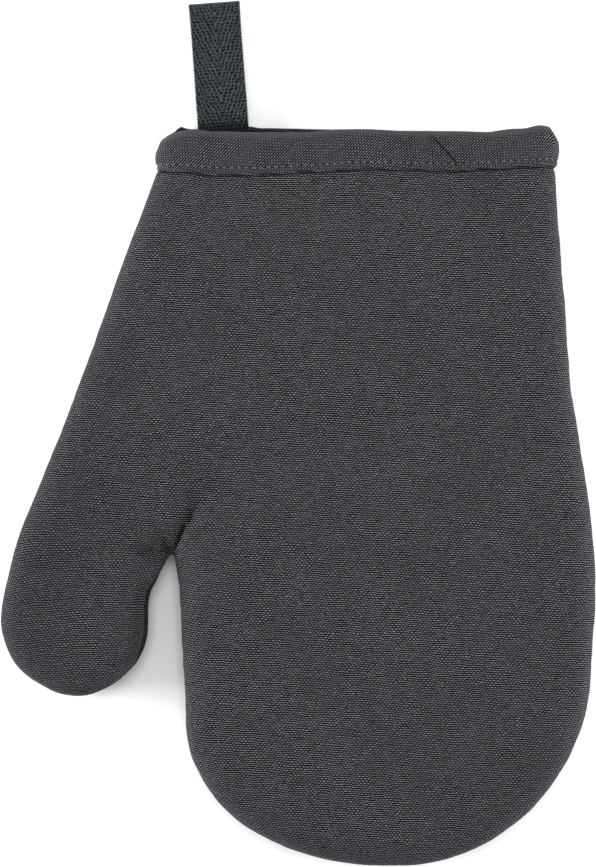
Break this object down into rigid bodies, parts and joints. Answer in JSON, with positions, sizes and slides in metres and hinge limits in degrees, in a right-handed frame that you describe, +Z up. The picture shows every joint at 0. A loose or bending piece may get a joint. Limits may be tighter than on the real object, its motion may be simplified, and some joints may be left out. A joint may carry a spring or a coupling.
{
  "type": "oven mitt",
  "caption": "Oven mitt lying palm up: padded hand and thumb with a hollow for each, a bound cuff, and a tape loop to hang it by.",
  "frame": {"origin": "under the middle of the mitt's whole outline, loop included, on the surface it lies on", "axes": "+Z up out of the palm, +Y from the fingertips to the cuff and hanging loop, +X away from the thumb"},
  "size_m": [0.2266, 0.3311, 0.0232],
  "materials": {
    "outer_cloth": "dark grey coarse plain-weave cotton",
    "wadding": "off-white heat-resisting wadding",
    "lining_cloth": "thin dark grey cotton lining",
    "binding_cloth": "the outer cloth cut on the bias",
    "loop_tape": "dark grey herringbone cotton tape",
    "thread": "dark grey sewing thread"
  },
  "bodies": {
    "hand": {"front_panel_hand": "outer_cloth", "front_wadding_hand": "wadding", "front_lining_hand": "lining_cloth", "back_panel_hand": "outer_cloth", "back_wadding_hand": "wadding", "back_lining_hand": "lining_cloth", "seam_thread_hand": "thread", "cuff_binding": "binding_cloth", "cuff_stitching": "thread", "loop_sewn_ends": "loop_tape", "loop_tack": "thread"},
    "thumb": {"front_panel_thumb": "outer_cloth", "front_wadding_thumb": "wadding", "front_lining_thumb": "lining_cloth", "back_panel_thumb": "outer_cloth", "back_wadding_thumb": "wadding", "back_lining_thumb": "lining_cloth", "seam_thread_thumb": "thread"},
    "fingers": {"front_panel_fingers": "outer_cloth", "front_wadding_fingers": "wadding", "front_lining_fingers": "lining_cloth", "back_panel_fingers": "outer_cloth", "back_wadding_fingers": "wadding", "back_lining_fingers": "lining_cloth", "seam_thread_fingers": "thread"},
    "loop": {"hanging_loop": "loop_tape"}
  },
  "joints": [
    {"name": "thumb_fold", "type": "hinge", "parent": "hand", "child": "thumb", "pos_m": [-0.0545, -0.047, 0.0222], "axis": [-0.0488, 0.9988, 0], "range_deg": [0, 60]},
    {"name": "finger_fold", "type": "hinge", "parent": "hand", "child": "fingers", "pos_m": [0.034, -0.0785, 0.0222], "axis": [-1, 0, 0], "range_deg": [0, 65]},
    {"name": "loop_swing", "type": "hinge", "parent": "hand", "child": "loop", "pos_m": [-0.0286, 0.1166, 0.0087], "axis": [0.9972, 0.075, 0], "range_deg": [0, 85]}
  ]
}
